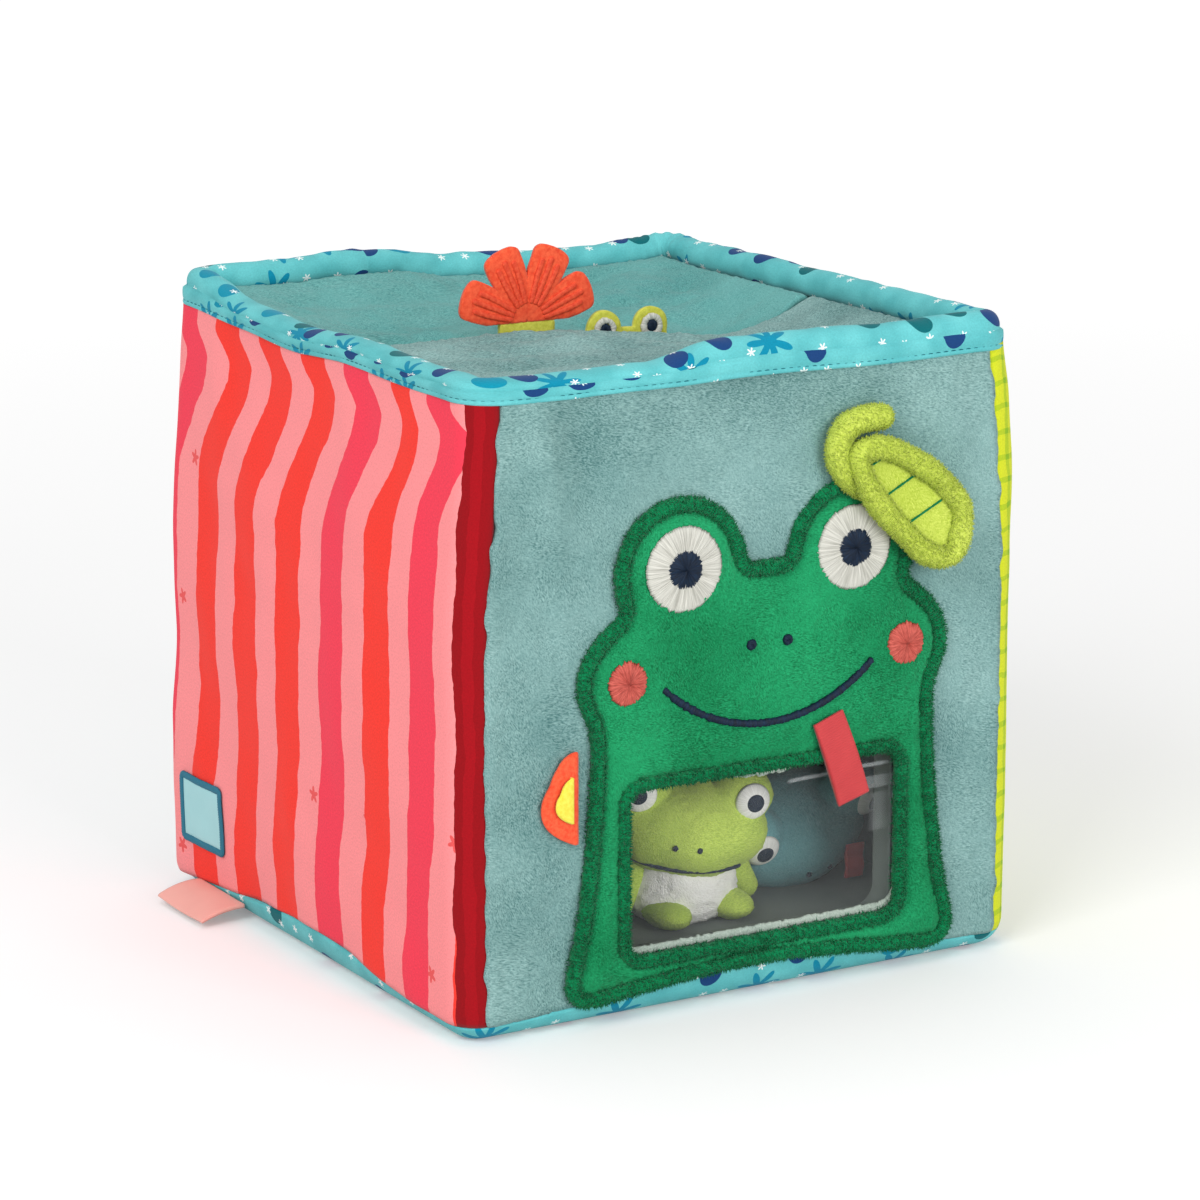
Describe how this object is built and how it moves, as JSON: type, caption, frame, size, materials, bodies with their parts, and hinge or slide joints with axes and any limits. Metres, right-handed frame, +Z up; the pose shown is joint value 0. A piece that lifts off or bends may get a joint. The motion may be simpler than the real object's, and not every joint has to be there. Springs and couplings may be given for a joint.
{
  "type": "activity cube",
  "caption": "Soft padded fabric activity cube for a baby: open rim, two plush lid flaps, clear window in a sewn frog, toy frogs inside, leaf, ribbon and felt tabs.",
  "frame": {"origin": "middle of the base, on the surface that the cube stands on", "axes": "+Z up through the open rim, -Y out of the window face, -X out of the striped face"},
  "size_m": [0.2014, 0.2009, 0.2063],
  "materials": {
    "aqua_plush": "soft, matt",
    "striped_cotton": "soft, matt",
    "checked_cotton": "soft, matt",
    "printed_cotton": "soft, matt",
    "foam": "soft, matt",
    "grey_lining": "soft, matt",
    "clear_vinyl": "clear, glossy",
    "green_plush": "soft, matt",
    "dark_green_stitching": "soft, matt",
    "white_stitching": "soft, matt",
    "navy_stitching": "soft, matt",
    "coral_stitching": "soft, matt",
    "coral_ribbon": "ribbed ribbon",
    "lime_plush": "soft, matt",
    "white_plush": "soft, matt",
    "blue_plush": "soft, matt",
    "coral_felt": "soft, matt",
    "yellow_felt": "soft, matt",
    "lime_felt": "soft, matt",
    "woven_label": "soft, matt",
    "teal_woven_rim": "soft, matt"
  },
  "bodies": {
    "cube": {"base_cover": "printed_cotton", "left_cover": "striped_cotton", "right_cover": "checked_cotton", "front_cover": "aqua_plush", "back_cover": "aqua_plush", "base_foam": "foam", "left_foam": "foam", "right_foam": "foam", "front_foam": "foam", "back_foam": "foam", "lining": "grey_lining", "rim_binding": "printed_cotton", "window_pane": "clear_vinyl", "frog_applique": "green_plush", "applique_border": "dark_green_stitching", "window_border": "dark_green_stitching", "left_eye": "white_stitching", "left_pupil": "navy_stitching", "right_eye": "white_stitching", "right_pupil": "navy_stitching", "left_cheek": "coral_stitching", "right_cheek": "coral_stitching", "left_nostril": "navy_stitching", "right_nostril": "navy_stitching", "mouth": "navy_stitching", "leaf_stalk": "lime_plush", "patch_rim": "teal_woven_rim", "patch_field": "woven_label"},
    "front_flap": {"front_flap": "aqua_plush"},
    "rear_flap": {"rear_flap": "aqua_plush"},
    "flower": {"flower_stem": "lime_felt", "flower_petals": "coral_felt"},
    "pond_frog": {"pond_frog": "lime_felt", "pond_frog_left_eye": "white_stitching", "pond_frog_right_eye": "white_stitching"},
    "leaf": {"leaf_rim": "lime_plush", "leaf_back": "lime_plush"},
    "tongue": {"tongue_ribbon": "coral_ribbon"},
    "felt_tag": {"felt_tag": "coral_felt", "tag_seed": "yellow_felt"},
    "side_label": {"side_label": "woven_label"},
    "lime_frog": {"lime_frog_head": "lime_plush", "lime_frog_body": "white_plush", "lime_frog_left_arm": "lime_plush", "lime_frog_right_arm": "lime_plush", "lime_frog_left_foot": "lime_plush", "lime_frog_right_foot": "lime_plush", "lime_frog_left_eye": "white_stitching", "lime_frog_right_eye": "white_stitching"},
    "blue_frog": {"blue_frog_head": "blue_plush", "blue_frog_body": "blue_plush", "blue_frog_left_arm": "blue_plush", "blue_frog_right_arm": "blue_plush", "blue_frog_left_foot": "blue_plush", "blue_frog_right_foot": "blue_plush", "blue_frog_left_eye": "white_stitching", "blue_frog_right_eye": "white_stitching", "blue_frog_ribbon": "coral_ribbon"}
  },
  "joints": [
    {"name": "front_flap_hinge", "type": "hinge", "parent": "cube", "child": "front_flap", "pos_m": [0, -0.0832, 0.1833], "axis": [1, 0, 0], "range_deg": [0, 90]},
    {"name": "rear_flap_hinge", "type": "hinge", "parent": "cube", "child": "rear_flap", "pos_m": [0, 0.0832, 0.1833], "axis": [-1, 0, 0], "range_deg": [0, 90]},
    {"name": "lime_frog_lift", "type": "slide", "parent": "cube", "child": "lime_frog", "axis": [0, 0, 1], "range_m": [0, 0.18]},
    {"name": "blue_frog_lift", "type": "slide", "parent": "cube", "child": "blue_frog", "axis": [0, 0, 1], "range_m": [0, 0.18]},
    {"name": "flower_bend", "type": "hinge", "parent": "rear_flap", "child": "flower", "pos_m": [-0.018, 0.003, 0.17644], "axis": [-1, 0, 0], "range_deg": [0, 55], "stiffness_Nm_per_rad": 0.0003},
    {"name": "pond_frog_bend", "type": "hinge", "parent": "rear_flap", "child": "pond_frog", "pos_m": [0.016, 0.003, 0.17468], "axis": [-1, 0, 0], "range_deg": [0, 55], "stiffness_Nm_per_rad": 0.00005},
    {"name": "leaf_hinge", "type": "hinge", "parent": "cube", "child": "leaf", "pos_m": [0.03342, -0.1017, 0.15373], "axis": [-0.6293, 0, -0.7771], "range_deg": [0, 100], "stiffness_Nm_per_rad": 0.002},
    {"name": "tongue_hinge", "type": "hinge", "parent": "cube", "child": "tongue", "pos_m": [0.023, -0.0966, 0.08], "axis": [-0.9397, 0, -0.342], "range_deg": [0, 100]},
    {"name": "tag_hinge", "type": "hinge", "parent": "cube", "child": "felt_tag", "pos_m": [-0.0568, -0.0933, 0.067], "axis": [0, 0, 1], "range_deg": [0, 90], "stiffness_Nm_per_rad": 0.00005},
    {"name": "label_hinge", "type": "hinge", "parent": "cube", "child": "side_label", "pos_m": [-0.09263, 0.058, 0.0056], "axis": [0, 1, 0], "range_deg": [0, 75]}
  ],
  "couplings": [
    {"joint": "lime_frog_lift", "follows": "front_flap_hinge", "m_per_rad": 0.1145},
    {"joint": "blue_frog_lift", "follows": "front_flap_hinge", "m_per_rad": 0.1145}
  ]
}
